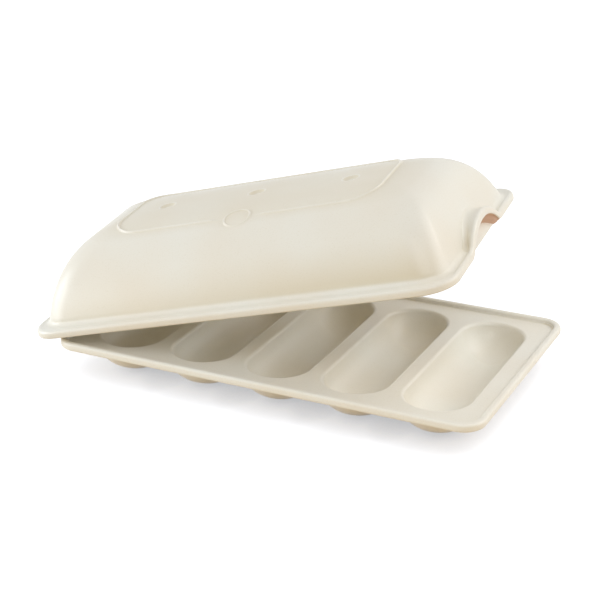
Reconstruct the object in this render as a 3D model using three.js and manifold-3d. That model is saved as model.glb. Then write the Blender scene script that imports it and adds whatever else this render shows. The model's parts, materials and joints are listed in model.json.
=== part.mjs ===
// Ceramic baguette baker: a tray with five long troughs and a domed lid that tips up over the tray's left end.
// Millimetres, +Z up, +X along the length. The origin is on the table, under the middle of the tray.

import * as THREE from 'three';
import Module from 'manifold-3d';
import { mergeVertices } from 'three/addons/utils/BufferGeometryUtils.js';

const wasm = await Module();
wasm.setup();

// Troughs
const troughCount = 5;
const troughWidth = 57;
const troughLength = 189;
const troughDepth = 25;
const troughEndRun = 38;
const troughEdgeRound = 3;
const ridgeWidth = 15.4;
const troughWall = 6.5;
const floorThickness = 7;
const footFlat = 0.6;

// Tray rim and the flat land around the troughs
const endLand = 24.2;
const sideLand = 23.5;
const trayCornerRadius = 20;
const plateThickness = 7;
const lipWidth = 6.5;
const lipHeight = 4;
const rimEdgeHeight = 7.3;
const rimRound = 2.4;

// Lid flange and dome
const lidClearance = 0.3;
const lidHeight = 70.5;
const lidWall = 6.5;
const hollowLedge = 2.5;
const lidCornerRadius = 26;
const domeCornerRadius = 20;
const crownCornerGain = 30;
const endFoot = 3.7;
const sideFoot = 3.5;
const domeFootDrop = 47;
const flangeThickness = 7;
const flangeRound = 3;
const flangeFootRound = 1.2;
const flangeValley = 0.9;
const valleyReach = 3.4;
const wallFillet = 2.5;
const endFullness = 9;
const sideFullness = 2.92;

// Hand-holds: an arch in the flange at each end, with a sloping soffit and a closed wall behind it
const archHeight = 18.4;
const archTopRadius = 65;
const archFootRadius = 15;
const soffitDepth = 9.5;
const soffitDrop = 5.5;
const archWallInset = 4.4;

// Locating ridges under the long sides of the lid: they drop inside the tray's lip when it is closed
const seatRidgeWidth = 9;
const seatRidgeClearance = 2;
const seatRidgeLandGap = 0.7;
const seatRidgeSetback = 8;
const seatRidgeRunOut = 20;

// Steam vents on the ridge of the lid
const ventPitch = 90;
const ventHoleDiameter = 4;
const ventDishDiameter = 15;
const ventDishDepth = 2;

// Opening motion of the lid: a turn that tips it up and slides it back over the left lip
const lidOpenAngle = 15.85;
const hingeOverhang = 19;
const hingeDrop = 126.2;
const hingeAxis = new THREE.Vector3(0.191, -1, 0.359).normalize();

// Sizes that follow
const troughPitch = troughWidth + ridgeWidth;
const length = troughPitch * (troughCount - 1) + troughWidth + 2 * endLand;
const width = troughLength + 2 * sideLand;
const landHeight = troughDepth + floorThickness;
const trayHeight = landHeight + lipHeight;
const seatRidgeDepth = lipHeight + lidClearance - seatRidgeLandGap;
const seatRidgeInset = lipWidth + seatRidgeClearance;

// A loop has pairs of points that mirror each other across the X axis: point i and point n - 1 - i
function rectangleLoop(halfX, halfY, radius, endPoints, cornerSteps, sideSteps) {
  const r = Math.max(0.2, Math.min(radius, halfX - 1, halfY - 1));
  const quarter = endPoints.map((y) => [halfX, y]);
  for (let i = 0; i <= cornerSteps; i++) {
    const a = (i / cornerSteps) * Math.PI / 2;
    quarter.push([halfX - r + r * Math.cos(a), halfY - r + r * Math.sin(a)]);
  }
  for (let i = 1; i < sideSteps; i++) {
    quarter.push([(halfX - r) * (1 - i / sideSteps), halfY]);
  }
  const upper = [...quarter, [0, halfY], ...quarter.map(([x, y]) => [-x, y]).reverse()];
  return [...upper, ...upper.map(([x, y]) => [x, -y]).reverse()];
}

// Slot outline along Y with round ends
function slotLoop(halfWidth, halfLength, steps) {
  const straight = Math.max(0.1, halfLength - halfWidth);
  const upper = [];
  for (let i = 0; i <= steps; i++) {
    const a = (i / steps) * Math.PI;
    upper.push([halfWidth * Math.cos(a), straight + halfWidth * Math.sin(a)]);
  }
  return [...upper, ...upper.map(([x, y]) => [x, -y]).reverse()];
}

const atHeight = (loop, z) => loop.map(([x, y]) => [x, y, z]);

// Closed skin through a stack of loops, with a flat strip over the first loop and over the last one
function loft(rings) {
  const n = rings[0].length;
  const positions = rings.flat(2);
  const index = [];
  for (let s = 0; s < rings.length - 1; s++) {
    for (let i = 0; i < n; i++) {
      const j = (i + 1) % n;
      const a = s * n + i;
      const b = s * n + j;
      const c = (s + 1) * n + j;
      const d = (s + 1) * n + i;
      index.push(a, b, c, a, c, d);
    }
  }
  const last = (rings.length - 1) * n;
  for (let i = 0; i < n / 2 - 1; i++) {
    const p = n - 1 - i;
    index.push(last + i, last + i + 1, last + p - 1, last + i, last + p - 1, last + p);
    index.push(i + 1, i, p - 1, p - 1, i, p);
  }
  const geometry = new THREE.BufferGeometry();
  geometry.setAttribute('position', new THREE.Float32BufferAttribute(positions, 3));
  geometry.setIndex(index);
  return geometry;
}

function toSolid(geometry) {
  const bare = geometry.clone();
  bare.deleteAttribute('normal');
  bare.deleteAttribute('uv');
  const merged = mergeVertices(bare, 1e-4);
  return new wasm.Manifold(new wasm.Mesh({
    numProp: 3,
    vertProperties: new Float32Array(merged.attributes.position.array),
    triVerts: new Uint32Array(merged.index.array),
  }));
}

function toGeometry(solid) {
  const mesh = solid.getMesh();
  const geometry = new THREE.BufferGeometry();
  const positions = new Float32Array((mesh.vertProperties.length / mesh.numProp) * 3);
  for (let i = 0; i < positions.length / 3; i++) {
    for (let k = 0; k < 3; k++) positions[3 * i + k] = mesh.vertProperties[mesh.numProp * i + k];
  }
  geometry.setAttribute('position', new THREE.BufferAttribute(positions, 3));
  geometry.setIndex(new THREE.BufferAttribute(new Uint32Array(mesh.triVerts), 1));
  geometry.computeVertexNormals();
  return geometry;
}

// Tray blank: plate, raised lip and rounded outer edge, as loops from the underside over the lip to the land
function trayBlank() {
  const round = Math.min(rimRound, lipWidth * 0.45, rimEdgeHeight * 0.45);
  const diagonal = round * (1 - Math.SQRT1_2);
  const edgeFoot = trayHeight - rimEdgeHeight;
  const underside = Math.min(landHeight - plateThickness, edgeFoot - 0.5);
  const section = [
    [lipWidth + 2 * round, underside],
    [round, edgeFoot],
    [diagonal, edgeFoot + diagonal],
    [0, edgeFoot + round],
    [0, trayHeight - round],
    [diagonal, trayHeight - diagonal],
    [round, trayHeight],
    [lipWidth - round, trayHeight],
    [lipWidth - diagonal, trayHeight - diagonal],
    [lipWidth, trayHeight - round],
    [lipWidth + 0.4, landHeight + 0.5],
    [lipWidth + 1.4, landHeight],
  ];
  const endPoints = [0.3 * width, 0.1 * width].reverse();
  return loft(section.map(([inset, z]) => atHeight(
    rectangleLoop(length / 2 - inset, width / 2 - inset, trayCornerRadius - inset, endPoints, 6, 3),
    z,
  )));
}

// Round-bottomed slot: half sizes at its mouth, shrinking to a quarter-ellipse section below
function troughRing(halfWidth, halfLength, endRun, depth, angle, grow) {
  const c = Math.cos(angle);
  const w = halfWidth * c + grow;
  const l = halfLength - endRun * (1 - c) + grow;
  return atHeight(slotLoop(w, l, 12), landHeight - depth * Math.sin(angle));
}

function troughCavity() {
  const w = troughWidth / 2;
  const l = troughLength / 2;
  const start = Math.asin(troughEdgeRound / troughDepth);
  const end = THREE.MathUtils.degToRad(84);
  const rings = [];
  for (let i = 7; i >= 0; i--) {
    rings.push(troughRing(w, l, troughEndRun, troughDepth, start + (end - start) * i / 7, 0));
  }
  for (const a of [Math.PI / 4, Math.PI / 2]) {
    const ring = troughRing(w, l, troughEndRun, troughDepth, start, troughEdgeRound * (1 - Math.cos(a)));
    rings.push(ring.map(([x, y]) => [x, y, landHeight - troughEdgeRound * (1 - Math.sin(a))]));
  }
  rings.push(rings[rings.length - 1].map(([x, y]) => [x, y, trayHeight + 1]));
  return loft(rings);
}

// Belly of a trough below the plate, cut flat where it stands on the table
function troughBelly() {
  const w = troughWidth / 2 + troughWall;
  const l = troughLength / 2 + troughWall;
  const depth = landHeight + footFlat;
  const start = Math.asin(0.45 * plateThickness / depth);
  const end = Math.asin(landHeight / depth);
  const rings = [];
  for (let i = 6; i >= 0; i--) {
    rings.push(troughRing(w, l, troughEndRun + troughWall, depth, start + (end - start) * i / 6, 0));
  }
  return loft(rings);
}

function trayGeometry() {
  let tray = toSolid(trayBlank());
  const belly = troughBelly();
  const cavity = troughCavity();
  const places = Array.from({ length: troughCount }, (_, i) => (i - (troughCount - 1) / 2) * troughPitch);
  for (const x of places) tray = tray.add(toSolid(belly.clone().translate(x, 0, 0)));
  for (const x of places) tray = tray.subtract(toSolid(cavity.clone().translate(x, 0, 0)));
  return toGeometry(tray);
}

// Height of the hand-hold arch above the rim plane: a large arc that runs out into two foot arcs
const archHalfWidth = Math.sqrt(
  (archTopRadius + archFootRadius) ** 2 - (archTopRadius + archFootRadius - archHeight) ** 2,
);
function archLift(y) {
  const t = Math.abs(y);
  if (t >= archHalfWidth) return 0;
  const join = archHalfWidth * archTopRadius / (archTopRadius + archFootRadius);
  if (t > join) return archFootRadius - Math.sqrt(archFootRadius ** 2 - (archHalfWidth - t) ** 2);
  return archHeight - archTopRadius + Math.sqrt(archTopRadius ** 2 - t ** 2);
}

const archSteps = 9;
const archPoints = Array.from({ length: archSteps }, (_, i) => archHalfWidth * (i + 0.5) / (archSteps - 0.5));

function lidLoop(insetX, insetY, radius) {
  return rectangleLoop(length / 2 - insetX, width / 2 - insetY, radius, archPoints, 6, 3);
}

// Lift of every loop point: the arch on the straight ends, nothing on the corners and long sides
const loopLift = lidLoop(0, 0, lidCornerRadius).map(
  ([x, y]) => (length / 2 - Math.abs(x) < 1e-6 ? archLift(y) : 0),
);

// Dome: its curve starts at a foot below the rim plane, so that the wall still slopes where it meets the flange.
// At a share u of the way down from the ridge, y = half width * u and x = half length * u^(side / end fullness),
// and the corners are rounder towards the ridge
function domeShare(height, z) {
  return (1 - ((z + domeFootDrop) / (height + domeFootDrop)) ** 2) ** (1 / sideFullness);
}

function domeRing(insetX, insetY, radius, height, shareAt) {
  return loopLift.map((_, i) => {
    const u = shareAt(i);
    const [x, y] = lidLoop(insetX, insetY, radius + crownCornerGain * (1 - u))[i];
    const z = (height + domeFootDrop) * Math.sqrt(Math.max(0, 1 - u ** sideFullness)) - domeFootDrop;
    return [x * u ** (sideFullness / endFullness), y * u, z];
  });
}

function lidGeometry() {
  const rings = [];
  const top = THREE.MathUtils.degToRad(88);
  // Hollow, from its ridge down to the rim plane
  const innerRadius = Math.max(2, domeCornerRadius - lidWall);
  const hollowInset = lidWall + hollowLedge;
  const hollowStart = Math.acos(domeShare(lidHeight - lidWall, 0));
  for (let k = 9; k >= 0; k--) {
    const u = Math.cos(hollowStart + (top - hollowStart) * k / 9);
    const ring = domeRing(endFoot + hollowInset, sideFoot + hollowInset, innerRadius, lidHeight - lidWall, () => u);
    rings.push(k > 0 ? ring : ring.map(([x, y]) => [x, y, 0]));
  }
  // Flat seat, wall behind the arch, soffit, and the flange's outer edge up to its crest
  const flangeLoop = (inset, height) => lidLoop(inset, inset, lidCornerRadius - inset).map(
    ([x, y], i) => [x, y, height(loopLift[i])],
  );
  rings.push(flangeLoop(archWallInset, () => 0));
  const soffitInset = (lift) => {
    const t = Math.max(0, (lift - soffitDrop) / (archHeight - soffitDrop));
    return archWallInset - 0.8 + (soffitDepth - archWallInset + 0.8) * Math.sqrt(t);
  };
  rings.push(lidLoop(archWallInset - 0.8, archWallInset - 0.8, lidCornerRadius - archWallInset + 0.8).map(
    ([x, y], i) => {
      const lift = loopLift[i];
      const shift = lift > 0 ? soffitInset(lift) - (archWallInset - 0.8) : 0;
      return [x - Math.sign(x) * shift, y, Math.max(0, lift - soffitDrop)];
    },
  ));
  const foot = flangeFootRound;
  const crest = Math.min(flangeRound, flangeThickness - flangeFootRound - 0.5);
  const section = [
    [foot, 0],
    [foot * (1 - Math.SQRT1_2), foot * (1 - Math.SQRT1_2)],
    [0, foot],
    [0, flangeThickness - crest],
    [crest * (1 - Math.SQRT1_2), flangeThickness - crest * (1 - Math.SQRT1_2)],
    [crest, flangeThickness],
  ];
  for (const [inset, z] of section) rings.push(flangeLoop(inset, (lift) => lift + z));
  // Shallow valley and fillet at the foot of the dome
  const flangeShare = loopLift.map((lift) => domeShare(lidHeight, lift + flangeThickness));
  for (const [out, z] of [[valleyReach, -flangeValley], [0.45 * wallFillet, 0.1 * wallFillet]]) {
    rings.push(domeRing(
      endFoot - out, sideFoot - out, domeCornerRadius + out, lidHeight, (i) => flangeShare[i],
    ).map(([x, y], i) => [x, y, loopLift[i] + flangeThickness + z]));
  }
  // Dome, from the fillet up to the ridge
  const dome = 11;
  const startAngle = loopLift.map(
    (lift) => Math.acos(domeShare(lidHeight, lift + flangeThickness + wallFillet)),
  );
  for (let k = 0; k <= dome; k++) {
    rings.push(domeRing(
      endFoot, sideFoot, domeCornerRadius, lidHeight,
      (i) => Math.cos(startAngle[i] + (top - startAngle[i]) * k / dome),
    ));
  }
  let lid = toSolid(loft(rings));
  // Locating ridges, standing down from the flat seat and running out in a soft curve at both ends
  const ridgeEnd = length / 2 - seatRidgeSetback;
  const runOut = [0, 0.25, 0.5, 0.75, 1].map(
    (s) => [ridgeEnd - s * seatRidgeRunOut, -seatRidgeDepth * s * s],
  );
  const ridgeSide = new THREE.Shape([
    new THREE.Vector2(ridgeEnd, 1),
    new THREE.Vector2(-ridgeEnd, 1),
    ...runOut.map(([x, z]) => new THREE.Vector2(-x, z)),
    ...runOut.map(([x, z]) => new THREE.Vector2(x, z)).reverse(),
  ]);
  for (const side of [-1, 1]) {
    const ridge = new THREE.ExtrudeGeometry(ridgeSide, { depth: seatRidgeWidth, bevelEnabled: false });
    ridge.translate(0, 0, -seatRidgeWidth / 2).rotateX(Math.PI / 2);
    ridge.translate(0, side * (width / 2 - seatRidgeInset - seatRidgeWidth / 2), 0);
    lid = lid.add(toSolid(ridge));
  }
  // Three dished vents along the ridge, each with a hole through the wall
  const dishRadius = (ventDishDiameter ** 2 / 4 + ventDishDepth ** 2) / (2 * ventDishDepth);
  for (const x of [-ventPitch, 0, ventPitch]) {
    const hole = new THREE.CylinderGeometry(ventHoleDiameter / 2, ventHoleDiameter / 2, 4 * lidWall, 12);
    hole.rotateX(Math.PI / 2).translate(x, 0, lidHeight - lidWall / 2);
    const dish = new THREE.SphereGeometry(dishRadius, 24, 18);
    dish.rotateX(Math.PI / 2).translate(x, 0, lidHeight - ventDishDepth + dishRadius);
    lid = lid.subtract(toSolid(dish)).subtract(toSolid(hole));
  }
  return toGeometry(lid);
}

const baker = new THREE.Group();

const tray = new THREE.Mesh(
  trayGeometry(),
  new THREE.MeshStandardMaterial({ color: 0xe3dac4, roughness: 0.3, metalness: 0 }),
);
tray.name = 'base_tray';
baker.add(tray);

// The lid is modelled closed and turned open about the hinge line
const lidHinge = new THREE.Group();
const hingePoint = new THREE.Vector3(-length / 2 - hingeOverhang, 0, trayHeight - hingeDrop);
lidHinge.position.copy(hingePoint);
lidHinge.quaternion.setFromAxisAngle(hingeAxis, THREE.MathUtils.degToRad(lidOpenAngle));
baker.add(lidHinge);

const lid = new THREE.Mesh(
  lidGeometry(),
  new THREE.MeshStandardMaterial({ color: 0xe8e3d4, roughness: 0.28, metalness: 0 }),
);
lid.name = 'domed_lid';
lid.position.set(0, 0, trayHeight + lidClearance).sub(hingePoint);
lidHinge.add(lid);

export default baker;
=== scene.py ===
# %% [markdown]
# # A ceramic baguette baker
#
# The baker is two pieces of oven crockery: a low tray with a row of long troughs, and a domed lid that is
# tipped up over the tray's left end. Each is cast in clay, dipped in cream glaze and fired.
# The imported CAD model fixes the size, the places of the pieces and the line that the lid turns about.
# This lesson gives each piece a fine glazed surface around that fixed frame.

import json
import math

import bpy
import numpy as np
from mathutils import Matrix, Vector
from mathutils.geometry import delaunay_2d_cdt


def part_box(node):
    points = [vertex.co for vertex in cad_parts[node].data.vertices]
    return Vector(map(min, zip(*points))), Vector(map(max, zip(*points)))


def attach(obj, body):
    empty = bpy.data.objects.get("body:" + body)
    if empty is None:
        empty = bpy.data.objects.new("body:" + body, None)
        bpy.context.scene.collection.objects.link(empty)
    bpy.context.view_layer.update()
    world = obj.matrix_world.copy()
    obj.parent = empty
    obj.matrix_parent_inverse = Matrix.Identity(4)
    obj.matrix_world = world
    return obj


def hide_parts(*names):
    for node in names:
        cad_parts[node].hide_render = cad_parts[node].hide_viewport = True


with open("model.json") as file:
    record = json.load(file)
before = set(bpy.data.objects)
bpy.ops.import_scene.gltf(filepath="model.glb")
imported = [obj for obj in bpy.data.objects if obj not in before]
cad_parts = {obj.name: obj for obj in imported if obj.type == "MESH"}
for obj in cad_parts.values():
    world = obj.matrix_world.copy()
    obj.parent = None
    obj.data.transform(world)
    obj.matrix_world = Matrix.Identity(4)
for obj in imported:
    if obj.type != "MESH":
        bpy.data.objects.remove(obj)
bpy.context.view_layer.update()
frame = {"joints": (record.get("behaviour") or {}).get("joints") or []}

# %% [markdown]
# ## Sizes from the frame
#
# The rim of the tray gives the length, width and height that everything else is measured from.
# Shapes are worked out in millimetres, as a potter would write them, and turned to metres at the end.

# %% Sizes that the frame gives
MM = 0.001
tray_low, tray_high = (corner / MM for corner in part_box("base_tray"))
half_length = tray_high.x
half_width = tray_high.y
lip_top = tray_high.z
lid_tip = next(joint for joint in frame["joints"] if joint["name"] == "lid_tip")
print(f"rim {2 * half_length:.1f} x {2 * half_width:.1f} mm, lip top at {lip_top:.1f} mm")

# %% [markdown]
# ## A casting as a skin of loops
#
# Crockery has no sharp edges: every corner is a small radius that the glaze softens further.
# It could be modelled with a bevel modifier, but a bevel guesses at curved rims.
# Here each piece is a stack of matched loops that follow its section, with several loops on every radius,
# so that the shading is right and each radius is a real size. Flat and crowned areas with cut-outs are filled
# with triangles between their loops.

# %% The casting
GLAZED = 0
RAW_CLAY = 1


class Casting:
    """Points in millimetres, and faces with a finish each, of one piece of crockery."""

    def __init__(self):
        self.points = np.empty((0, 3))
        self.faces = []
        self.finishes = []

    def lay(self, flat, heights):
        """Adds a run of points and gives back their numbers."""
        heights = np.broadcast_to(heights, len(flat))
        first = len(self.points)
        self.points = np.vstack([self.points, np.column_stack([flat, heights])])
        return np.arange(first, len(self.points))

    def band(self, first, second, finish=GLAZED):
        """Quads between two matched loops, one finish for all or one each."""
        quads = np.column_stack([first, np.roll(first, -1), np.roll(second, -1), second])
        self.faces.extend(quads.tolist())
        self.finishes.extend(np.broadcast_to(finish, len(quads)).tolist())

    def stack(self, loops, finish=GLAZED):
        """Bands through a run of matched loops."""
        for first, second in zip(loops, loops[1:]):
            self.band(first, second, finish)

    def close_slot(self, loop, height, facing, finish=GLAZED):
        """Closes a slot along Y onto the line along its middle."""
        x, y, _ = self.points[loop].T
        straight = (np.ptp(y) - np.ptp(x)) / 2
        along, shared = np.unique(np.round(np.clip(y, -straight, straight), 6), return_inverse=True)
        middle = self.lay(np.column_stack([np.full(len(along), x.mean()), along]), height)[shared]
        for first, second, far, near in zip(loop, np.roll(loop, -1), np.roll(middle, -1), middle):
            corners = [first, second, near] if far == near else [first, second, far, near]
            self.faces.append([int(corner) for corner in corners[::facing]])
            self.finishes.append(finish)

    def fill(self, loops, runs, free, keep, facing, finish=GLAZED):
        """Triangles between closed loops, along open runs and through free points, where keep says so."""
        numbers = np.concatenate([*loops, *runs, free]).astype(int)
        edges = []
        start = 0
        for order, line in enumerate([*loops, *runs]):
            ring = start + np.arange(len(line))
            edges += np.column_stack([ring[:-1], ring[1:]]).tolist()
            if order < len(loops):
                edges.append([ring[-1], ring[0]])
            start += len(line)
        spots = [Vector(p) for p in self.points[numbers][:, :2]]
        _, _, triangles, sources, _, _ = delaunay_2d_cdt(spots, edges, [], 1, 1e-6)
        corners = np.array([[numbers[sources[v][0]] for v in face] for face in triangles])
        middles = self.points[corners].mean(axis=1)
        kept = corners[keep(middles[:, 0], middles[:, 1])][:, ::facing]
        self.faces.extend(kept.tolist())
        self.finishes.extend([finish] * len(kept))


no_points = np.empty(0, int)
print("finishes:", {"glazed": GLAZED, "raw clay": RAW_CLAY})

# %% [markdown]
# ## Two outlines
#
# The rims are rounded rectangles and the troughs are slots with round ends.
# Each outline is written as a function of its size, so an inset loop matches its neighbour point for point.

# %% Rim and slot outlines
def rim_loop(half_x, half_y, radius, end_marks, corner_steps=16, side_steps=30):
    """Rounded rectangle, anticlockwise; end_marks are the points' places along each straight end."""
    turn = np.linspace(0, math.pi / 2, corner_steps + 1)
    straight = half_x - radius
    side = np.linspace(straight, 0, side_steps + 1)[1:]
    quarter = np.vstack([
        np.column_stack([np.full(len(end_marks), half_x), end_marks]),
        np.column_stack([straight + radius * np.cos(turn), half_y - radius * (1 - np.sin(turn))]),
        np.column_stack([side, np.full(side_steps, half_y)]),
    ])
    back = np.vstack([quarter, quarter[-2::-1] * (-1, 1)])
    return np.vstack([back, back[::-1] * (1, -1)])


def slot_loop(half_w, half_l, end_steps=28, side_steps=10):
    """Slot along Y with round ends, anticlockwise."""
    turn = np.linspace(0, math.pi, end_steps + 1)
    straight = max(half_l - half_w, 0.1)
    side = np.linspace(0, straight, side_steps + 1)[1:-1]
    back = np.vstack([
        np.column_stack([np.full(len(side), half_w), side]),
        np.column_stack([half_w * np.cos(turn), straight + half_w * np.sin(turn)]),
        np.column_stack([np.full(len(side), -half_w), side[::-1]]),
    ])
    return np.vstack([back, back[::-1] * (1, -1)])


def slot_distance(x, y, half_w, half_l):
    """How far a point lies outside a slot, or inside it if below zero."""
    return np.hypot(x, np.maximum(np.abs(y) - (half_l - half_w), 0)) - half_w


def quarter_turn(steps):
    """Angles of a radius, from its start to its end."""
    return np.linspace(0, math.pi / 2, steps + 1)


# A narrow flat strip beside each radius keeps the wide flats beyond it from shading as if they were bent
flat_strip = 0.6
print("points in a small slot loop:", len(slot_loop(10, 30)))

# %% [markdown]
# ## The tray's rim
#
# The rim is a plate with a raised, rounded lip that keeps the closed lid from sliding.
# Its section is drawn as insets from the outer edge and heights, and carried round the outline.

# %% Rim of the tray
tray_corner_radius = 20
lip_width = 6.5
lip_height = 4
lip_edge_height = 7.3
lip_round = 2.4
lip_foot_round = 1.8
lip_under_rise = 0.8
plate_thickness = 7
land_height = lip_top - lip_height
plate_underside = land_height - plate_thickness

tray = Casting()
tray_marks = np.arange(8, 92, 12)


def tray_rim_loop(inset, height):
    outline = rim_loop(half_length - inset, half_width - inset, tray_corner_radius - inset, tray_marks)
    return tray.lay(outline, height)


edge_foot = lip_top - lip_edge_height
lip_turns = quarter_turn(6)
rim_section = [
    (lip_width + 2 * lip_round + flat_strip, plate_underside),
    (lip_width + 2 * lip_round, plate_underside),
    (lip_width + lip_round, plate_underside + lip_under_rise),
]
rim_section += [
    (lip_round * (1 - math.sin(a)), edge_foot + lip_round * (1 - math.cos(a))) for a in lip_turns
]
rim_section += [
    (lip_round * (1 - math.cos(a)), lip_top - lip_round * (1 - math.sin(a))) for a in lip_turns
]
rim_section += [
    (lip_width - lip_round * (1 - math.sin(a)), lip_top - lip_round * (1 - math.cos(a))) for a in lip_turns
]
rim_section += [
    (lip_width + lip_foot_round * (1 - math.cos(a)), land_height + lip_foot_round * (1 - math.sin(a)))
    for a in lip_turns
]
rim_section.append((lip_width + lip_foot_round + flat_strip, land_height))
rim_loops = [tray_rim_loop(inset, height) for inset, height in rim_section]
tray.stack(rim_loops)
print("loops in the tray's rim:", len(rim_loops))

# %% [markdown]
# ## The troughs
#
# Each trough is a long slot with a round bottom. Across it the section is half an ellipse,
# and both ends run up in a longer, spoon-shaped curve to a softly rounded mouth.
# Outside, the same form makes a belly under the plate, cut flat where the baker stands.

# %% Troughs and bellies
trough_count = 5
trough_pitch = 72.4
trough_width = 57
trough_length = 189
trough_depth = 25
trough_end_run = 38
trough_mouth_round = 3
trough_wall = 6.5
trough_floor_turn = math.radians(86)
foot_flat = 0.6
foot_edge = 0.8
belly_root_round = 1.7
trough_places = (np.arange(trough_count) - (trough_count - 1) / 2) * trough_pitch


def trough_outline(half_w, half_l, end_run, angle, grow=0.0):
    """Half width and half length of a trough where its section has turned by angle."""
    return half_w * math.cos(angle) + grow, half_l - end_run * (1 - math.cos(angle)) + grow


def trough_loop(place, outline, height):
    return tray.lay(slot_loop(*outline) + (place, 0), height)


def carve_trough(place):
    """Lays one trough from its mouth to its floor and gives back the mouth's outer loop."""
    inside = (trough_width / 2, trough_length / 2, trough_end_run)
    start = math.asin(trough_mouth_round / trough_depth)
    loops = [trough_loop(place, trough_outline(*inside, start, trough_mouth_round + flat_strip), land_height)]
    for a in quarter_turn(8)[::-1]:
        grown = trough_outline(*inside, start, trough_mouth_round * (1 - math.cos(a)))
        loops.append(trough_loop(place, grown, land_height - trough_mouth_round * (1 - math.sin(a))))
    for a in np.linspace(start, trough_floor_turn, 20)[1:]:
        loops.append(trough_loop(place, trough_outline(*inside, a), land_height - trough_depth * math.sin(a)))
    tray.stack(loops)
    tray.close_slot(loops[-1], land_height - trough_depth, 1)
    return loops[0]


def add_belly(place):
    """Lays one belly from its flat foot up to the plate and gives back its top loop."""
    outside = (trough_width / 2 + trough_wall, trough_length / 2 + trough_wall, trough_end_run + trough_wall)
    depth = land_height + foot_flat
    foot = math.asin(land_height / depth)
    root = math.asin((plate_thickness + belly_root_round) / depth)
    foot_loop = trough_loop(place, trough_outline(*outside, foot, -foot_edge), 0)
    loops = [trough_loop(place, trough_outline(*outside, foot), 0)]
    for a in np.linspace(foot, root, 18)[1:]:
        loops.append(trough_loop(place, trough_outline(*outside, a), land_height - depth * math.sin(a)))
    for a in quarter_turn(5)[1:]:
        grown = trough_outline(*outside, root, belly_root_round * (1 - math.cos(a)))
        loops.append(trough_loop(place, grown, plate_underside - belly_root_round * (1 - math.sin(a))))
    tray.band(foot_loop, loops[0], RAW_CLAY)
    tray.close_slot(foot_loop, 0, -1, RAW_CLAY)
    tray.stack(loops)
    return loops[-1]


mouths = [carve_trough(place) for place in trough_places]
belly_tops = [add_belly(place) for place in trough_places]
print("troughs:", len(mouths), "of", trough_length, "x", trough_width, "x", trough_depth, "mm")

# %% [markdown]
# ## The land and the plate's underside
#
# The flat land between the mouths is one surface with five slots in it, and so is the plate's underside.
# A grid would waste faces here, so the loops are joined by triangles that all lie in one plane.

# %% Land and underside
def clear_of(half_w, half_l):
    """True outside every slot of that size."""
    def test(x, y):
        return np.all([slot_distance(x - place, y, half_w, half_l) > 0 for place in trough_places], axis=0)
    return test


def slot_size(loop):
    """Half width and half length of a laid slot."""
    spots = tray.points[loop]
    return np.ptp(spots[:, 0]) / 2, np.ptp(spots[:, 1]) / 2


tray.fill([rim_loops[-1], *mouths], [], no_points, clear_of(*slot_size(mouths[0])), 1)
tray.fill([rim_loops[0], *belly_tops], [], no_points, clear_of(*slot_size(belly_tops[0])), -1)
print("tray faces:", len(tray.faces))

# %% [markdown]
# ## The lid's outline and its arches
#
# The lid has the tray's outline. At each end its flange lifts into an arch, which lets fingers in under
# the rim. The arch is a wide arc that runs out into two smaller arcs, so its height is a formula.

# %% Arches in the flange
lid_corner_radius = 26
arch_height = 18.4
arch_top_radius = 65
arch_foot_radius = 15
arch_reach = arch_top_radius + arch_foot_radius
arch_half_width = math.sqrt(arch_reach ** 2 - (arch_reach - arch_height) ** 2)
arch_turn = math.asin(arch_half_width / arch_reach)
arch_join = arch_top_radius * math.sin(arch_turn)

top_marks = arch_top_radius * np.sin(arch_turn * (np.arange(16) + 0.5) / 16)
foot_marks = arch_half_width - arch_foot_radius * np.sin(arch_turn * (1 - np.arange(15) / 14))
beside_arch_marks = [56, 62, 69]
arch_marks = np.concatenate([top_marks, foot_marks, beside_arch_marks])


def arch_lift(y):
    """Height of the arch above the rim plane at a place along the end."""
    across = np.abs(y)
    top = arch_height - arch_top_radius + np.sqrt(np.maximum(arch_top_radius ** 2 - across ** 2, 0))
    run = np.clip(arch_half_width - across, 0, arch_foot_radius)
    foot = arch_foot_radius - np.sqrt(arch_foot_radius ** 2 - run ** 2)
    return np.where(across <= arch_join, top, foot)


def lid_outline(inset_x, inset_y, radius):
    return rim_loop(half_length - inset_x, half_width - inset_y, radius, arch_marks)


lid_edge = lid_outline(0, 0, lid_corner_radius)
on_ends = np.isclose(np.abs(lid_edge[:, 0]), half_length)
lift = np.where(on_ends, arch_lift(lid_edge[:, 1]), 0)
print(f"arch {2 * arch_half_width:.1f} mm wide and {lift.max():.1f} mm high")
print("points in a lid loop:", len(lift))

# %% [markdown]
# ## The dome as a formula
#
# The dome is full along its length and rounder across, like a vault. A potter would cut a template;
# here one number, the share of the way from the ridge to the foot, gives both the outline and the height.
# The curve starts at a foot below the rim plane, so the wall still slopes where it meets the flange, and it
# would slip out of a mould. The corners are rounder towards the ridge.
# The same formula, made smaller by the wall, gives the hollow inside.

# %% Dome formula
lid_height = 70.5
lid_wall = 6.5
hollow_ledge = 2.5
end_foot = 3.7
side_foot = 3.5
dome_foot_drop = 47
dome_corner_radius = 20
crown_corner_gain = 30
end_fullness = 9
side_fullness = 2.92
dome_bend = side_fullness / end_fullness
hollow_inset = lid_wall + hollow_ledge

dome_foot = (end_foot, side_foot, dome_corner_radius, lid_height)
hollow_foot = (
    end_foot + hollow_inset, side_foot + hollow_inset, dome_corner_radius - lid_wall, lid_height - lid_wall,
)


def dome_rise(foot, share):
    """Height above the rim plane at a share of the way down from the ridge."""
    return (foot[3] + dome_foot_drop) * np.sqrt(1 - share ** side_fullness) - dome_foot_drop


def share_at_height(foot, height):
    return (1 - ((height + dome_foot_drop) / (foot[3] + dome_foot_drop)) ** 2) ** (1 / side_fullness)


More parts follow.
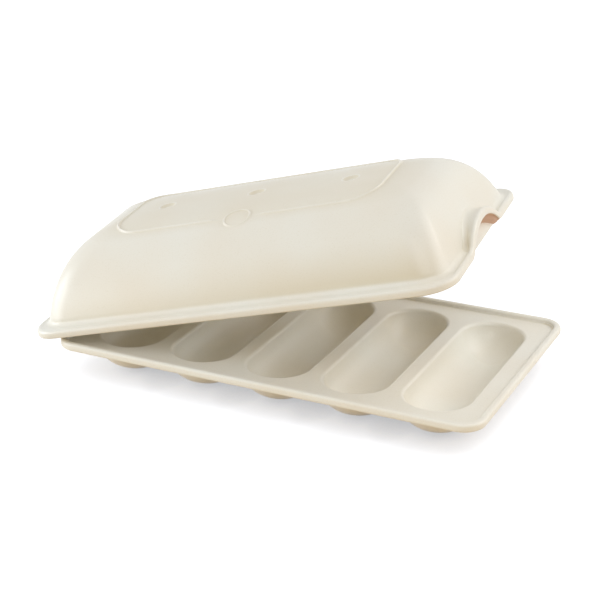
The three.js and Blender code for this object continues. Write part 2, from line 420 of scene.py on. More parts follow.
def dome_loop(foot, share):
    """Loop of a dome, flat and heights, at a share of the way down from the ridge."""
    inset_x, inset_y, radius, _ = foot
    share = np.broadcast_to(share, len(lift))
    foot_outline = lid_outline(inset_x, inset_y, radius)
    ridge_outline = lid_outline(inset_x, inset_y, radius + crown_corner_gain)
    outline = foot_outline + (ridge_outline - foot_outline) * (1 - share)[:, None]
    return outline * np.column_stack([share ** dome_bend, share]), dome_rise(foot, share)


def dome_share(foot, x, y):
    """Share at a place in plan, found by halving."""
    inset_x, inset_y, foot_radius, _ = foot
    low, high = np.full(np.shape(x), 1e-9), np.ones(np.shape(x))
    for _ in range(48):
        middle = (low + high) / 2
        radius = foot_radius + crown_corner_gain * (1 - middle)
        over_x = np.abs(x) / middle ** dome_bend - (half_length - inset_x - radius)
        over_y = np.abs(y) / middle - (half_width - inset_y - radius)
        past_corner = np.hypot(np.maximum(over_x, 0), np.maximum(over_y, 0))
        outside = past_corner + np.minimum(np.maximum(over_x, over_y), 0) > radius
        low, high = np.where(outside, middle, low), np.where(outside, high, middle)
    return (low + high) / 2


def dome_height(foot, x, y):
    return dome_rise(foot, dome_share(foot, x, y))


print(f"dome {lid_height} mm high, {dome_height(dome_foot, 0, half_width / 2):.1f} mm halfway to the side")

# %% [markdown]
# ## The hollow and the seat
#
# Inside, the lid is a smooth hollow down to a rounded edge. Around it is the seat that rests on the tray's
# lip. Along both long sides a low locating ridge stands down from the seat and drops inside the lip.
# The loops carry on outwards from the hollow.

# %% Hollow and seat
crown_share = 0.62
hollow_edge_round = 1.5
seat_ridge_inset = 8.5
seat_ridge_width = 9
seat_ridge_depth = 3.6
seat_ridge_end_share = 0.7
seat_ridge_edge = 1.6
seat_ridge_end = half_length - 18
seat_ridge_run_out = 10

lid = Casting()
brink_share = share_at_height(hollow_foot, hollow_edge_round)
hollow_turns = np.linspace(math.acos(crown_share), math.acos(brink_share), 18)
hollow_loops = [lid.lay(*dome_loop(hollow_foot, math.cos(a))) for a in hollow_turns]
for a in quarter_turn(5)[1:]:
    grow = hollow_edge_round * (1 - math.cos(a))
    wider = (hollow_foot[0] - grow, hollow_foot[1] - grow, hollow_foot[2] + grow, hollow_foot[3])
    edge, _ = dome_loop(wider, brink_share)
    hollow_loops.append(lid.lay(edge, hollow_edge_round * (1 - math.sin(a))))
lid.stack(hollow_loops)


def seat_loop(inset, height=0.0):
    return lid.lay(lid_outline(inset, inset, lid_corner_radius - inset), height)


def ridge_loop(step):
    """Loop across the locating ridge, step millimetres in from its outer edge."""
    inset = seat_ridge_inset + step
    end_inset = seat_ridge_inset + step * seat_ridge_end_share
    outline = lid_outline(end_inset, inset, lid_corner_radius - inset)
    rise = np.clip(min(step, seat_ridge_width - step) / seat_ridge_edge, 0, 1)
    rounded = math.sqrt(1 - (1 - rise) ** 2)
    fade = np.clip((seat_ridge_end - np.abs(outline[:, 0])) / seat_ridge_run_out, 0, 1)
    return lid.lay(outline, -seat_ridge_depth * rounded * fade ** 2)


edge_steps = seat_ridge_edge * (1 - np.cos(quarter_turn(5)))
ridge_steps = [*edge_steps, seat_ridge_width / 2, *(seat_ridge_width - edge_steps[::-1])]
seat_loops = [hollow_loops[-1], *(ridge_loop(step) for step in ridge_steps[::-1])]
seat_loops.append(seat_loop(seat_ridge_inset - flat_strip))
lid.stack(seat_loops)
print("loops in the hollow and seat:", len(hollow_loops) + len(seat_loops))

# %% [markdown]
# ## The hand-holds
#
# Under each arch a closed wall keeps the steam in. The soffit above it is bare pink clay and steps up
# outwards, where the mould for the wall met the mould for the flange.
# Away from the arches these loops lie flat in the seat.

# %% Wall and soffit under the arches
arch_wall_inset = 4.4
arch_wall_edge = 1.2
soffit_drop = 7.5
soffit_step_drop = 4.6
soffit_step_rise = 3.2
soffit_depth = 9.5
wall_head_inset = 3.6
step_foot_edge, step_foot_set_back = 3.0, 3.2
step_top_edge, step_top_set_back = 2.4, 3.0
bare_clay_lift = 0.5

soffit_height = np.maximum(lift - soffit_drop, 0)
arch_share = np.sqrt(soffit_height / (arch_height - soffit_drop))
soffit_finish = np.where(lift > bare_clay_lift, RAW_CLAY, GLAZED)


def arch_loop(inset, height):
    """Loop whose inset and height differ from point to point along the arches."""
    inset = np.broadcast_to(inset, len(lift))
    side_inset = inset[~on_ends][0]
    settled = lid_outline(side_inset, side_inset, lid_corner_radius - side_inset)
    settled[:, 0] -= np.sign(lid_edge[:, 0]) * np.where(on_ends, inset - side_inset, 0)
    return lid.lay(settled, height)


wall_top_inset = wall_head_inset + (soffit_depth - wall_head_inset) * arch_share
wall_loops = [seat_loops[-1], seat_loop(arch_wall_inset + arch_wall_edge)]
for a in quarter_turn(4)[1:]:
    inset = arch_wall_inset + arch_wall_edge * (1 - math.sin(a))
    wall_loops.append(arch_loop(inset, np.minimum(arch_wall_edge * (1 - math.cos(a)), soffit_height)))
for rise in (0.3, 0.6, 0.9, 0.97, 1.0):
    foot_height = np.minimum(arch_wall_edge, soffit_height)
    inset = arch_wall_inset + (wall_top_inset - arch_wall_inset) * rise
    wall_loops.append(arch_loop(inset, foot_height + (soffit_height - foot_height) * rise))
lid.stack(wall_loops)

step_foot_inset = step_foot_edge + step_foot_set_back * arch_share
step_top_inset = step_top_edge + step_top_set_back * arch_share
step_foot_height = np.maximum(lift - soffit_step_drop, 0)
step_top_height = np.maximum(lift - soffit_step_drop + soffit_step_rise, 0)
soffit_loops = [wall_loops[-1]]
# Shares of the way outwards and up: first to the foot of the step, then to its top
for along, up in ((0.06, 0.03), (0.5, 0.5), (0.9, 0.95), (1.0, 1.0)):
    inset = wall_top_inset + (step_foot_inset - wall_top_inset) * along
    soffit_loops.append(arch_loop(inset, soffit_height + (step_foot_height - soffit_height) * up))
for along, up in ((0.5, 0.5), (0.9, 0.9), (1.0, 1.0)):
    inset = step_foot_inset + (step_top_inset - step_foot_inset) * along
    soffit_loops.append(arch_loop(inset, step_foot_height + (step_top_height - step_foot_height) * up))
print("loops under the arches:", len(wall_loops) + len(soffit_loops))

# %% [markdown]
# ## The flange
#
# The flange is a rounded shelf all round the lid, with a shallow valley where it meets the dome.
# It follows the arches, so each of its loops is lifted by the arch's height at every point.

# %% Flange
flange_thickness = 7
flange_round = 3
flange_foot_round = 1.2
flange_foot_strip = 0.3
flange_valley = 0.4
valley_reach = 3.8
wall_fillet = 4

edge_section = [(flange_foot_round + flange_foot_strip, 0)]
edge_section += [
    (flange_foot_round * (1 - math.sin(a)), flange_foot_round * (1 - math.cos(a))) for a in quarter_turn(4)
]
edge_section += [
    (flange_round * (1 - math.cos(a)), flange_thickness - flange_round * (1 - math.sin(a)))
    for a in quarter_turn(8)
]
soffit_loops += [seat_loop(inset, lift + height) for inset, height in edge_section[:2]]
lid.stack(soffit_loops, soffit_finish)
flange_loops = [soffit_loops[-1], *(seat_loop(inset, lift + height) for inset, height in edge_section[2:])]

crest = lid_outline(flange_round, flange_round, lid_corner_radius - flange_round)
valley_foot = (
    end_foot - valley_reach, side_foot - valley_reach, dome_corner_radius + valley_reach, lid_height,
)
valley, _ = dome_loop(valley_foot, share_at_height(dome_foot, lift + flange_thickness))
for along in np.linspace(0, 1, 8)[1:]:
    sink = flange_valley * along * along * (3 - 2 * along)
    flange_loops.append(lid.lay(crest + (valley - crest) * along, lift + flange_thickness - sink))

dome_start_height = lift + flange_thickness + wall_fillet
dome_start_share = share_at_height(dome_foot, dome_start_height)
dome_start, _ = dome_loop(dome_foot, dome_start_share)
valley_height = lift + flange_thickness - flange_valley
fillet_rise = dome_start_height - valley_height
for a in quarter_turn(8)[1:]:
    flat = dome_start + (valley - dome_start) * (1 - math.sin(a))
    flange_loops.append(lid.lay(flat, valley_height + fillet_rise * (1 - math.cos(a))))
lid.stack(flange_loops)
print("loops in the flange:", len(flange_loops))

# %% [markdown]
# ## The dome's wall
#
# From the fillet the wall rises to a loop around the crown. Over the arches it starts higher,
# so the loops are spread evenly between each point's own start and the crown.

# %% Wall of the dome
start_turn = np.arccos(dome_start_share)
crown_turn = math.acos(crown_share)
dome_loops = [flange_loops[-1]]
for along in np.linspace(0, 1, 25)[1:]:
    share = np.cos(start_turn + (crown_turn - start_turn) * along)
    dome_loops.append(lid.lay(*dome_loop(dome_foot, share)))
lid.stack(dome_loops)
print("loops in the dome's wall:", len(dome_loops))

# %% [markdown]
# ## The crown: panel line, blank oval and vents
#
# The mould leaves a thin raised line around a panel on the crown, broken at the front by a small raised oval,
# which is left blank. Three dished vents along the ridge let steam out through a small hole each.
# These could be separate pieces laid on the dome, but on the real lid they melt into it under the glaze.
# So loops are drawn in plan along each feature, and the height of every point is the dome plus the feature.

# %% Features on the crown
panel_half_length = 127
panel_half_width = 50
panel_corner_radius = 26
panel_line_reach = 1.9
panel_line_height = 1.5
panel_gap = 22
panel_gap_fade = 3
oval_half_length = 12
oval_half_width = 10.5
oval_line_reach = 1.4
oval_line_height = 0.9
oval_pad_height = 0.2
vent_pitch = 90
vent_hole_radius = 2
vent_dish_radius = 7.5
vent_dish_depth = 2.6
vent_edge_blend = 1.2
vent_lip = 0.5
vent_places = (-vent_pitch, 0, vent_pitch)


def line_profile(distance, reach):
    """Rounded ridge that dies away at reach."""
    return 0.5 * (1 + np.cos(math.pi * np.clip(distance / reach, -1, 1)))


def panel_distance(x, y):
    over_x = np.abs(x) - panel_half_length + panel_corner_radius
    over_y = np.abs(y) - panel_half_width + panel_corner_radius
    outside = np.hypot(np.maximum(over_x, 0), np.maximum(over_y, 0))
    return outside + np.minimum(np.maximum(over_x, over_y), 0) - panel_corner_radius


def oval_distance(x, y):
    away = np.hypot(x / oval_half_length, (y + panel_half_width) / oval_half_width)
    return (away - 1) * math.sqrt(oval_half_length * oval_half_width)


def crown_relief(x, y):
    """Height of the panel line and the oval above the dome."""
    gap = np.clip((np.abs(x) - panel_gap) / panel_gap_fade, 0, 1)
    open_front = np.where(y < 0, gap * gap * (3 - 2 * gap), 1)
    line = panel_line_height * line_profile(panel_distance(x, y), panel_line_reach) * open_front
    away = oval_distance(x, y)
    pad = oval_pad_height * np.clip(0.5 - away / oval_line_reach / 2, 0, 1)
    return line + oval_line_height * line_profile(away, oval_line_reach) + pad


def crown_height(x, y):
    """Dome, relief and vent dishes together."""
    surface = dome_height(dome_foot, x, y) + crown_relief(x, y)
    sphere = (vent_dish_radius ** 2 + vent_dish_depth ** 2) / (2 * vent_dish_depth)
    away = np.min([np.hypot(x - place, y) for place in vent_places], axis=0)
    dish = lid_height - vent_dish_depth + sphere - np.sqrt(np.maximum(sphere ** 2 - away ** 2, 0))
    dish = np.where(away < 1.4 * vent_dish_radius, dish, lid_height + vent_dish_radius)
    blend = np.clip(0.5 + (surface - dish) / vent_edge_blend, 0, 1)
    eased = surface + (dish - surface) * blend - vent_edge_blend / 2 * blend * (1 - blend)
    brink = np.clip((vent_hole_radius + vent_lip - away) / vent_lip, 0, 1)
    return eased - vent_lip * (1 - np.sqrt(1 - brink ** 2))


def lay_on_crown(flat):
    return lid.lay(flat, crown_height(flat[:, 0], flat[:, 1]))


print(f"panel line {2 * panel_half_length:.0f} x {2 * panel_half_width:.0f} mm, vents {vent_pitch} mm apart")

# %% [markdown]
# ## Laying the crown
#
# The loops of each feature are laid on the crown, with a field of points between them, and the whole is
# joined by triangles that keep every loop. The underside of the crown has only the three vent holes in it.

# %% Crown and its underside
panel_marks = np.linspace(2, panel_half_width - panel_corner_radius - 2, 8)
line_margin = 3.2
oval_margin = 3.4
vent_margin = 11.5
field_margin = 0.025
under_vent_margin = 5
under_brink_round = 0.3
under_brink_rise = 0.4


def panel_run(step):
    """The panel's outline, step millimetres out from its line, without the gap at the front."""
    outline = rim_loop(
        panel_half_length + step, panel_half_width + step, panel_corner_radius + step, panel_marks,
        corner_steps=14, side_steps=34,
    )
    in_gap = (outline[:, 1] < 0) & (np.abs(outline[:, 0]) < panel_gap - 2)
    after_gap = np.flatnonzero(in_gap)[-1] + 1
    return np.roll(outline, -after_gap, axis=0)[:len(outline) - np.sum(in_gap)]


panel_steps = panel_line_reach * np.array([-1.15, -0.8, -0.55, -0.28, 0, 0.28, 0.55, 0.8, 1.15])
panel_runs = [lay_on_crown(panel_run(step)) for step in panel_steps]
circle = np.linspace(0, 2 * math.pi, 48, endpoint=False)
round_loop = np.column_stack([np.cos(circle), np.sin(circle)])
oval_loops = [
    lay_on_crown(round_loop * (oval_half_length + step, oval_half_width + step) - (0, panel_half_width))
    for step in oval_line_reach * np.array([-4, -1.6, -1, -0.66, -0.33, 0, 0.33, 0.66, 1, 1.6])
]
# Circles are close together over the hole's brink and over the dish's edge
vent_radii = [
    *(vent_hole_radius + vent_lip * np.array([0, 0.12, 0.3, 0.6, 1])),
    3.2, 4.2, 5.2, 6,
    *(vent_dish_radius + np.array([-0.9, -0.5, -0.1, 0.3, 0.7, 1.3, 2.1])),
]
vent_loops = [
    [lay_on_crown(round_loop * radius + (place, 0)) for radius in vent_radii] for place in vent_places
]


def field(foot, spacing):
    """Staggered points over the crown, a little inside its edge."""
    rows = np.arange(-spacing * 20, spacing * 21, spacing * 0.866)
    columns = np.arange(-spacing * 50, spacing * 51, spacing)
    x = columns[None, :] + (np.arange(len(rows)) % 2)[:, None] * spacing / 2
    spots = np.column_stack([x.ravel(), np.broadcast_to(rows[:, None], x.shape).ravel()])
    return spots[dome_share(foot, spots[:, 0], spots[:, 1]) < crown_share - field_margin]


def away_from_features(spots):
    x, y = spots.T
    vents = np.min([np.hypot(x - place, y) for place in vent_places], axis=0)
    off_line = np.abs(panel_distance(x, y)) > line_margin
    return off_line & (oval_distance(x, y) > oval_margin) & (vents > vent_margin)


def beside_holes(radius):
    """True outside the many-sided hole of that radius at every vent."""
    flat_reach = radius * math.cos(math.pi / len(round_loop))
    def test(x, y):
        return np.all([np.hypot(x - place, y) > flat_reach for place in vent_places], axis=0)
    return test


crown_field = field(dome_foot, 4)
crown_field = lay_on_crown(crown_field[away_from_features(crown_field)])
crown_loops = [dome_loops[-1], *oval_loops, *(loop for vent in vent_loops for loop in vent)]
lid.fill(crown_loops, panel_runs, crown_field, beside_holes(vent_hole_radius), 1)

under_field = field(hollow_foot, 5)
vents_away = np.min([np.hypot(under_field[:, 0] - p, under_field[:, 1]) for p in vent_places], axis=0)
under_field = under_field[vents_away > under_vent_margin]
under_field = lid.lay(under_field, dome_height(hollow_foot, *under_field.T))
under_brink_radius = vent_hole_radius + under_brink_round
under_holes = []
for place, vent in zip(vent_places, vent_loops):
    hole = round_loop * vent_hole_radius + (place, 0)
    wide = round_loop * (vent_hole_radius + 1) + (place, 0)
    rim = lid.lay(hole, dome_height(hollow_foot, *hole.T) + under_brink_rise)
    brink = lid.lay(round_loop * under_brink_radius + (place, 0), dome_height(hollow_foot, *hole.T))
    lid.stack([vent[0], rim, brink])
    under_holes += [brink, lid.lay(wide, dome_height(hollow_foot, *wide.T))]
lid.fill([hollow_loops[0], *under_holes], [], under_field, beside_holes(under_brink_radius), -1)
print("lid faces:", len(lid.faces))

# %% [markdown]
# ## From castings to objects
#
# A casting becomes a mesh with smooth shading. Every edge should belong to two faces, because a fired pot has
# no loose skin, so the open edges are counted and printed.
# How far each point lies below its neighbours is kept on the mesh, so that the finish can follow it:
# the glaze turns tan in hollows and paler on brinks, a painted highlight. On the lid the same mark also
# carries painted shade on the crown and low on the long sides, most towards the right end.

# %% Castings to meshes
shortest_edge = 0.3
hollow_spread_rounds = 4
hollow_contrast = 4


def mark_hollows_and_brinks(mesh):
    """Stores how hollow the surface is around each point, from -1 on a brink to 1 in a groove."""
    points = np.array([v.co for v in mesh.vertices]) / MM
    normals = np.array([v.normal for v in mesh.vertices])
    ends = np.array([e.vertices[:] for e in mesh.edges])
    near, far = np.concatenate([ends, ends[:, ::-1]]).T
    apart = points[far] - points[near]
    turn = normals[near] - normals[far]
    weight = np.linalg.norm(apart, axis=1)
    bend = np.einsum("ij,ij->i", apart, turn) / np.maximum(weight, shortest_edge)
    total = np.bincount(near, weight, len(points))
    hollow = np.bincount(near, bend, len(points)) / total
    for _ in range(hollow_spread_rounds):
        hollow = 0.5 * hollow + 0.5 * np.bincount(near, hollow[far] * weight, len(points)) / total
    # This mark tints grooves tan and paints brinks paler, as a painted highlight
    shade_and_highlight = mesh.attributes.new("painted_shade_and_highlight", "FLOAT", "POINT")
    shade_and_highlight.data.foreach_set("value", np.tanh(hollow * hollow_contrast).astype(np.float32))


# Painted shade: a tan tint low on the lid's long sides and on its crown
side_shade_top = 52
side_shade_foot = flange_thickness + 1.5
side_shade_fade = 3
side_shade_amount = 1.25
crown_shade_start = 60
crown_shade_amount = 0.5
highlight_brink = -0.15


def paint_shade_on_lid(mesh):
    """Adds painted shade to the mark: low on the lid's long sides, growing towards the right end, and on the
    crown.
    """
    points = np.array([v.co for v in mesh.vertices]) / MM
    sideways = np.abs([v.normal.y for v in mesh.vertices])
    height = points[:, 2]
    run = np.clip((side_shade_top - height) / (side_shade_top - side_shade_foot), 0, 1) ** 1.5
    above_flange = np.clip((height - side_shade_foot) / side_shade_fade, 0, 1)
    toward_right_end = 0.65 + 0.35 * points[:, 0] / half_length
    on_sides = np.clip(1.6 * sideways - 0.5, 0, 1)
    on_crown = np.clip((height - crown_shade_start) / (lid_height - crown_shade_start), 0, 1)
    shade_and_highlight = mesh.attributes["painted_shade_and_highlight"].data
    values = np.empty(len(points), np.float32)
    shade_and_highlight.foreach_get("value", values)
    # Painted shade low on the long sides, more towards the right end, then on the crown away from the pale
    # brinks
    values += side_shade_amount * run * above_flange * toward_right_end * on_sides
    values += np.where(values > highlight_brink, crown_shade_amount * on_crown, 0)
    shade_and_highlight.foreach_set("value", values)


def fire(name, casting):
    """Object made of a casting, with its hollows and brinks marked for the tint and the painted highlight."""
    mesh = bpy.data.meshes.new(name)
    mesh.from_pydata((casting.points * MM).tolist(), [], casting.faces)
    mesh.polygons.foreach_set("material_index", casting.finishes)
    mesh.shade_smooth()
    mesh.update()
    uses = np.bincount([loop.edge_index for loop in mesh.loops], minlength=len(mesh.edges))
    mark_hollows_and_brinks(mesh)
    piece = bpy.data.objects.new(name, mesh)
    bpy.context.scene.collection.objects.link(piece)
    print(name, "faces", len(mesh.polygons), "edges not shared by two faces", int(np.sum(uses != 2)))
    return piece


tray_piece = fire("glazed_tray", tray)
lid_piece = fire("glazed_lid", lid)
paint_shade_on_lid(lid_piece.data)

# %% [markdown]
# ## Tipping the lid
#
# The lid was drawn level. It is set on the tray and then turned about the joint's line, by the angle that the
# joint needs to close it, so it lies where the CAD lid lies.

# %% Lid tipped open
lid_clearance = 0.3
tip_line = Vector(lid_tip["axis"])
tip_point = Vector(lid_tip["pos_m"])
tip_angle = -math.radians(lid_tip["range_deg"][0])
to_line, from_line = Matrix.Translation(tip_point), Matrix.Translation(-tip_point)
tip_turn = to_line @ Matrix.Rotation(tip_angle, 4, tip_line) @ from_line
lid_piece.data.transform(tip_turn @ Matrix.Translation((0, 0, (lip_top + lid_clearance) * MM)))
for piece, node in ((tray_piece, "base_tray"), (lid_piece, "domed_lid")):
    spots = np.array([v.co for v in piece.data.vertices])
    low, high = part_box(node)
    slips = [np.abs(spots.min(axis=0) - low).max(), np.abs(spots.max(axis=0) - high).max()]
    print(f"{piece.name}: box differs from the CAD by {max(slips) / MM:.2f} mm at most")

# %% [markdown]
# ## Finishes
#
# Colours are picked as sRGB values, as from a glaze chart, and turned to the linear values that light needs.
# One small function adds a node, sets it and links it, so each finish reads as a recipe.

# %% Colours and nodes
def glaze_chart(code):
    """Linear colour of an sRGB hex value."""
    parts = [int(code[i:i + 2], 16) / 255 for i in (1, 3, 5)]
    return [p / 12.92 if p <= 0.04045 else ((p + 0.055) / 1.055) ** 2.4 for p in parts] + [1.0]


def per_metre(millimetres):
    """Texture scale that repeats at about that size."""
    return 1 / (millimetres * MM)


def add_node(tree, kind, inputs=None, **settings):
    """One node with its settings, and a value or a link for each input named."""
    made = tree.nodes.new(kind)
    for name, value in settings.items():
        setattr(made, name, value)
    for socket, value in (inputs or {}).items():
        if isinstance(value, bpy.types.NodeSocket):
            tree.links.new(value, made.inputs[socket])
        else:
            made.inputs[socket].default_value = value
    return made


def new_finish(name):
    finish = bpy.data.materials.new(name)
    finish.use_nodes = True
    finish.node_tree.nodes.clear()
    return finish, finish.node_tree


print("cream in linear light:", [round(c, 3) for c in glaze_chart("#ebe5d6")])

# %% [markdown]
# ### Cream glazed stoneware
#
# Stoneware dipped in an opaque cream glaze and fired. To the eye it is a warm off-white with a satin gloss:
# soft clouds where the coat is thicker, a tan tint in hollows, the same tan as painted shade low on the
# lid's long sides and on its crown, paler brinks as a painted highlight, a fine grain from the clay below,
# and the slight ripple of a melted surface.

# %% Cream glazed stoneware
def cream_glazed_stoneware(name, cream, warm_cream):
    finish, tree = new_finish(name)
    place = add_node(tree, "ShaderNodeTexCoord").outputs["Object"]
    clouds = add_node(tree, "ShaderNodeTexNoise", {"Vector": place, "Scale": per_metre(80), "Detail": 1.0})
    cloud_share = add_node(tree, "ShaderNodeMapRange", {
        "Value": clouds.outputs["Fac"], "From Min": 0.3, "From Max": 0.7,
    })
    coat = add_node(tree, "ShaderNodeMix", {
        0: cloud_share.outputs["Result"], 6: glaze_chart(cream), 7: glaze_chart(warm_cream),
    }, data_type="RGBA")
    shade_and_highlight = add_node(tree, "ShaderNodeAttribute", attribute_name="painted_shade_and_highlight").outputs["Fac"]
    # Tan in hollows, and painted shade low on the lid's long sides and on its crown
    tan_share = add_node(tree, "ShaderNodeMapRange", {
        "Value": shade_and_highlight, "From Min": 0.05, "From Max": 0.9, "To Max": 0.55,
    })
    tanned = add_node(tree, "ShaderNodeMix", {
        0: tan_share.outputs["Result"], 6: coat.outputs[2], 7: glaze_chart("#cdbd97"),
    }, data_type="RGBA")
    # Painted highlight: paler on brinks and on the raised lines of the crown
    highlight_share = add_node(tree, "ShaderNodeMapRange", {
        "Value": shade_and_highlight, "From Min": -0.2, "From Max": -0.95, "To Max": 0.4,
    })
    painted_highlight = add_node(tree, "ShaderNodeMix", {
        0: highlight_share.outputs["Result"], 6: tanned.outputs[2], 7: glaze_chart("#f3efe4"),
    }, data_type="RGBA")
    # The clay's grain is about 0.3 mm; it is drawn at 1.2 mm so that it shows at all
    grain = add_node(tree, "ShaderNodeTexNoise", {"Vector": place, "Scale": per_metre(1.2), "Detail": 2.0})
    grain_share = add_node(tree, "ShaderNodeMapRange", {
        "Value": grain.outputs["Fac"], "From Min": 0.55, "From Max": 0.8, "To Max": 0.2,
    })
    grained = add_node(tree, "ShaderNodeMix", {
        0: grain_share.outputs["Result"], 6: painted_highlight.outputs[2], 7: glaze_chart("#cbbd9c"),
    }, data_type="RGBA")
    sheen = add_node(tree, "ShaderNodeTexNoise", {"Vector": place, "Scale": per_metre(25), "Detail": 1.0})
    roughness = add_node(tree, "ShaderNodeMapRange", {
        "Value": sheen.outputs["Fac"], "From Min": 0.3, "From Max": 0.7, "To Min": 0.3, "To Max": 0.37,
    })
    ripple = add_node(tree, "ShaderNodeTexNoise", {"Vector": place, "Scale": per_metre(22), "Detail": 1.0})
    melt = add_node(tree, "ShaderNodeBump", {
        "Height": ripple.outputs["Fac"], "Strength": 1.0, "Distance": 0.1 * MM,
    })
    surface = add_node(tree, "ShaderNodeBsdfPrincipled", {
        "Base Color": grained.outputs[2], "Roughness": roughness.outputs["Result"],
        "Normal": melt.outputs["Normal"], "IOR": 1.5,
    })
    add_node(tree, "ShaderNodeOutputMaterial", {"Surface": surface.outputs["BSDF"]})
    return finish


# Painted light: the tray has the lid's glaze, painted paler to make up for light it gets too little of
tray_glaze = cream_glazed_stoneware("cream_glazed_stoneware_tray_painted_paler", "#f1efe5", "#eee8da")
lid_glaze = cream_glazed_stoneware("cream_glazed_stoneware_lid", "#e8e5da", "#e6dfd0")
print("glazes:", tray_glaze.name, lid_glaze.name)

# %% [markdown]
# ### Raw fired clay
#
# Where the glaze is wiped off, the fired body shows: pinkish-brown, matt and slightly gritty,
# and a little darker where the kiln's smoke reached it.

# %% Raw fired clay
def raw_fired_clay(name):
    finish, tree = new_finish(name)
    place = add_node(tree, "ShaderNodeTexCoord").outputs["Object"]
    smoke = add_node(tree, "ShaderNodeTexNoise", {"Vector": place, "Scale": per_metre(16), "Detail": 4.0})
    grit = add_node(tree, "ShaderNodeTexNoise", {"Vector": place, "Scale": per_metre(0.9), "Detail": 2.0})
    body = add_node(tree, "ShaderNodeMix", {
        0: smoke.outputs["Fac"], 6: glaze_chart("#d8b7a2"), 7: glaze_chart("#bd9a85"),
    }, data_type="RGBA")
    gritty = add_node(tree, "ShaderNodeMix", {
        0: grit.outputs["Fac"], 6: body.outputs[2], 7: glaze_chart("#cdaa95"),
    }, data_type="RGBA")
    tooth = add_node(tree, "ShaderNodeBump", {
        "Height": grit.outputs["Fac"], "Strength": 0.5, "Distance": 0.15 * MM,
    })
    surface = add_node(tree, "ShaderNodeBsdfPrincipled", {
        "Base Color": gritty.outputs[2], "Roughness": 0.85, "Normal": tooth.outputs["Normal"],
    })
    add_node(tree, "ShaderNodeOutputMaterial", {"Surface": surface.outputs["BSDF"]})
    return finish


bare_clay = raw_fired_clay("raw_fired_clay")
print("bare finish:", bare_clay.name)

# %% [markdown]
# ## The pieces take their places
#
# Each piece gets its glaze and its bare clay, rides on its CAD body, and the CAD node it dresses is hidden.

# %% Dress the baker
for piece, glaze, body, node, slot in (
    (tray_piece, tray_glaze, "tray", "base_tray", "tray_glaze"),
    (lid_piece, lid_glaze, "lid", "domed_lid", "lid_glaze"),
):
    piece.data.materials.append(glaze)
    piece.data.materials.append(bare_clay)
    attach(piece, body)
    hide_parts(node)
    print(piece.name, "rides on", body)

# %% [markdown]
# ## The studio
#
# The baker stands on a plain pale floor under a pale sky. Light that bounces off the floor is slightly warm,
# as off a pale wooden table, and warms the sides that face down.
# The camera, and what shines, see the floor as white paper that keeps the baker's shadow from the lamps,
# and its glow is dimmed near the baker by ambient occlusion, a painted contact shadow.
# One could render on white and paint the shadow in later, but then it would not follow the lid when it moves.

# %% Floor and sky
SEEN_RAYS = ("Is Camera Ray", "Is Glossy Ray", "Is Transmission Ray")
floor_width = 12
floor_drop = 0.2
deep_shade, open_floor = 0.2, 0.85
shaded_glow = 0.5


def seen_directly(tree):
    """1 for the rays of the camera and of shiny and clear surfaces, else 0."""
    path = add_node(tree, "ShaderNodeLightPath")
    seen = path.outputs[SEEN_RAYS[0]]
    for ray in SEEN_RAYS[1:]:
        either = add_node(tree, "ShaderNodeMath", {0: seen, 1: path.outputs[ray]}, operation="MAXIMUM")
        seen = either.outputs[0]
    return seen


def pale_floor(paper_colour, glow_colour, paper_glow, shade_reach, table_colour):
    """Paper that glows, but less where the baker hangs close over it, within shade_reach millimetres: a
    painted shadow.
    """
    bpy.ops.mesh.primitive_plane_add(size=floor_width, location=(0, 0, -floor_drop * MM))
    floor = bpy.context.object
    floor.name = "studio_floor"
    finish, tree = new_finish("pale_studio_floor")
    paper = add_node(tree, "ShaderNodeBsdfDiffuse", {"Color": glaze_chart(paper_colour)})
    # Painted shadow: ambient occlusion dims the paper's glow where the baker hangs close over it
    shade = add_node(tree, "ShaderNodeAmbientOcclusion", {"Distance": shade_reach * MM}, samples=8)
    strength = add_node(tree, "ShaderNodeMapRange", {
        "Value": shade.outputs["AO"], "From Min": deep_shade, "From Max": open_floor,
        "To Min": paper_glow * shaded_glow, "To Max": paper_glow,
    })
    glow = add_node(tree, "ShaderNodeEmission", {
        "Color": glaze_chart(glow_colour), "Strength": strength.outputs[0],
    })
    white = add_node(tree, "ShaderNodeAddShader", {0: paper.outputs[0], 1: glow.outputs[0]})
    table = add_node(tree, "ShaderNodeBsdfDiffuse", {"Color": glaze_chart(table_colour)})
    floor_light = add_node(tree, "ShaderNodeMixShader", {
        0: seen_directly(tree), 1: table.outputs[0], 2: white.outputs[0],
    })
    add_node(tree, "ShaderNodeOutputMaterial", {"Surface": floor_light.outputs[0]})
    floor.data.materials.append(finish)


def pale_sky(strength):
    world = bpy.data.worlds.new("studio_sky")
    world.use_nodes = True
    tree = world.node_tree
    tree.nodes.clear()
    light = add_node(tree, "ShaderNodeBackground", {"Color": (1, 1, 1, 1), "Strength": strength})
    white = add_node(tree, "ShaderNodeBackground", {"Color": (1, 1, 1, 1), "Strength": 1.0})
    both = add_node(tree, "ShaderNodeMixShader", {
        0: seen_directly(tree), 1: light.outputs[0], 2: white.outputs[0],
    })
    add_node(tree, "ShaderNodeOutputWorld", {"Surface": both.outputs[0]})
    bpy.context.scene.world = world


pale_floor("#b4b4b4", "#f6f9ff", 0.95, 34, "#dfc79c")
pale_sky(0.42)
print("floor and sky are set")

# %% [markdown]
# ## Soft boxes
#
# Four soft boxes stand in a ring around the baker. A low wide one at the front left, slightly cool, brings
# out the rounded end of the lid. A larger one at the right, a little behind, lights the other end,
# and two weaker ones from above fill the front and the back.
# Each is placed by its bearing around the baker and its angle above the table, as in a studio plan.

# %% Soft boxes
lamp_centre = Vector((-0.02, 0, 0.08))
lamp_distance = 1.4


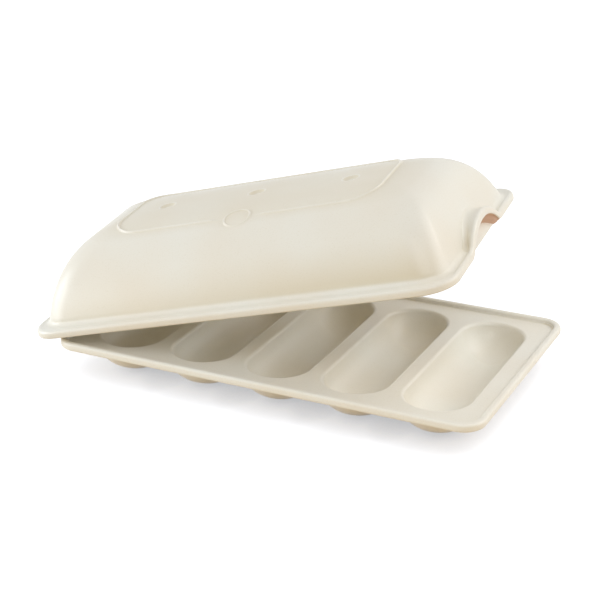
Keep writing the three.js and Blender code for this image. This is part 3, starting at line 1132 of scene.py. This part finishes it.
def soft_box(name, bearing, rise, size, power, tint="#ffffff"):
    """Area lamp that faces the baker; bearing 0 is in front of it and 90 to its right."""
    turn, climb = math.radians(bearing), math.radians(rise)
    outward = Vector((
        math.sin(turn) * math.cos(climb), -math.cos(turn) * math.cos(climb), math.sin(climb),
    ))
    lamp = bpy.data.lights.new(name, "AREA")
    lamp.shape = "RECTANGLE"
    lamp.size, lamp.size_y = size
    lamp.energy = power
    lamp.color = glaze_chart(tint)[:3]
    box = bpy.data.objects.new(name, lamp)
    box.location = lamp_centre + outward * lamp_distance
    box.rotation_euler = (-outward).to_track_quat("-Z", "Y").to_euler()
    bpy.context.scene.collection.objects.link(box)
    return box


lamps = [
    soft_box("left_box", -65, 10, (1.4, 0.6), 13, "#eef6ff"),
    soft_box("right_box", 110, 28, (1.8, 1.2), 6.8),
    soft_box("front_box", 24, 44, (0.9, 0.9), 5),
    soft_box("back_box", 130, 48, (0.9, 0.9), 3.6),
]
bpy.context.scene.view_settings.view_transform = "Standard"
print("soft boxes:", [lamp.name for lamp in lamps])

# %% [markdown]
# ## The camera
#
# The camera stands in front and to the right, a little above the lid, with a long lens, as in the picture.
# Its place is given as a bearing, a height angle and a distance from a point near the middle of the tray.

# %% Camera
camera_bearing = math.radians(25.691)
camera_rise = math.radians(22.552)
camera_distance = 1.45237
camera_roll = math.radians(-0.129)
camera_target = Vector((-0.04057, 0.05862, lip_top * MM))

eye = bpy.data.cameras.new("photo_camera")
eye.sensor_width = 36
eye.lens = 93.61
photo_camera = bpy.data.objects.new("photo_camera", eye)
outward = Vector((
    math.sin(camera_bearing) * math.cos(camera_rise),
    -math.cos(camera_bearing) * math.cos(camera_rise),
    math.sin(camera_rise),
))
photo_camera.location = camera_target + outward * camera_distance
aim = (-outward).to_track_quat("-Z", "Y").to_matrix().to_4x4()
photo_camera.rotation_euler = (aim @ Matrix.Rotation(camera_roll, 4, "Z")).to_euler()
bpy.context.scene.collection.objects.link(photo_camera)
bpy.context.scene.camera = photo_camera
print("camera at", [round(c, 4) for c in photo_camera.location])
